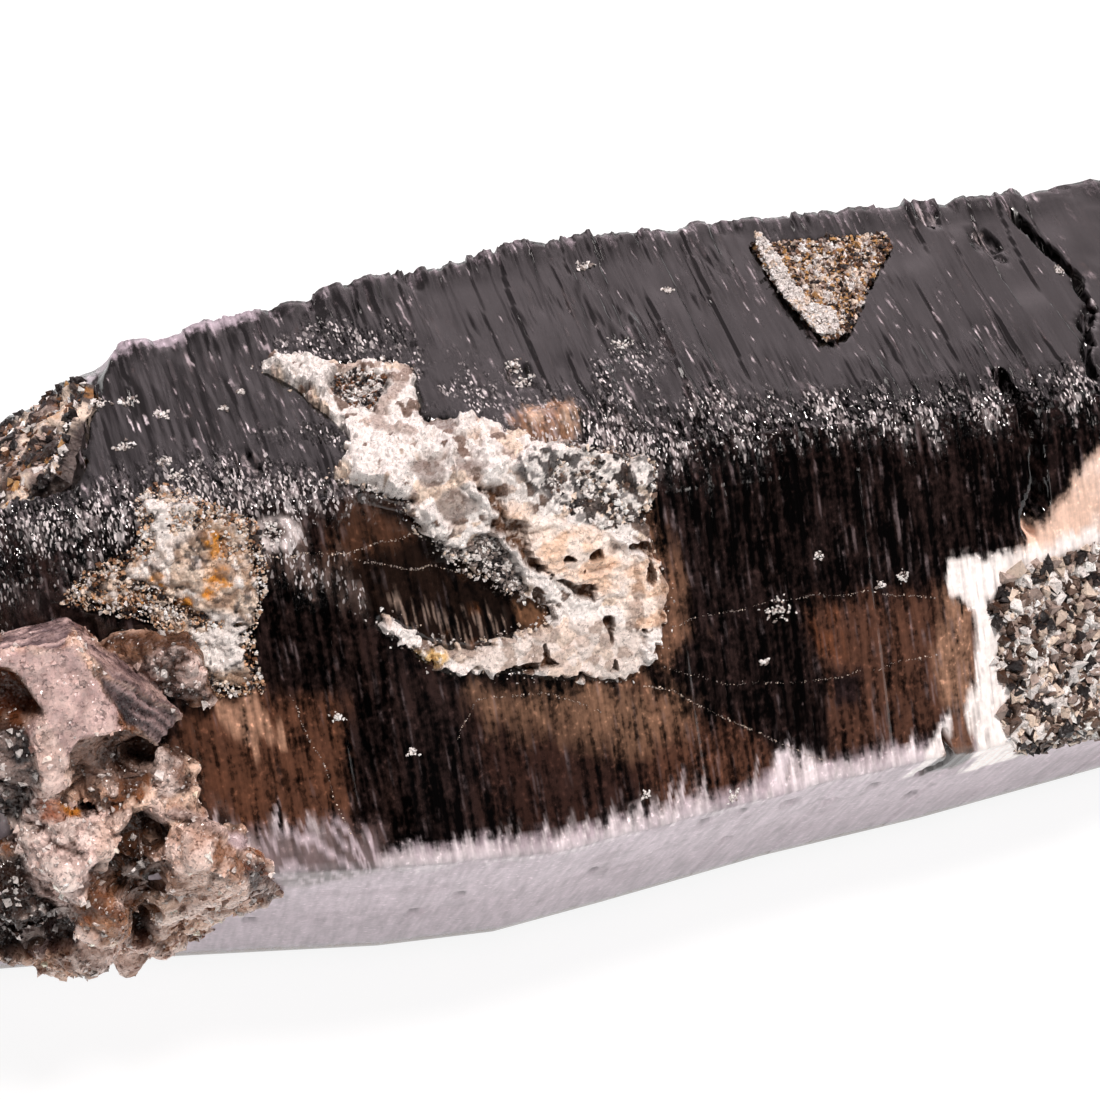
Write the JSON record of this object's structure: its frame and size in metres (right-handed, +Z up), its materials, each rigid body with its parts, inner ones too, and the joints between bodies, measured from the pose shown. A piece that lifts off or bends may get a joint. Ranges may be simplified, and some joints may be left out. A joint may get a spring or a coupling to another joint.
{
  "type": "smoky quartz point",
  "caption": "Dark hexagonal quartz crystal lying on a prism face, with a crystal-lined hollow, patches of granular rock and a broken base; a display or set-dressing mineral specimen.",
  "frame": {"origin": "on the prism face the crystal rests on, below its middle", "axes": "+X along the crystal towards its point, +Y to the back, +Z up away from the resting face"},
  "size_m": [0.0939, 0.036, 0.0362],
  "materials": {
    "smoky_quartz": "glossy, striated, dark brown to black",
    "white_crust": "sugary, white to tan",
    "stained_crust": "sugary, stained orange in places",
    "grey_rock": "granular, salt and pepper",
    "brown_rock": "granular, brown and black"
  },
  "bodies": {
    "root": {"quartz_crystal": "smoky_quartz", "centre_crust": "white_crust", "left_crust": "stained_crust", "side_matrix": "grey_rock", "top_matrix": "brown_rock", "base_matrix": "brown_rock"}
  },
  "joints": []
}
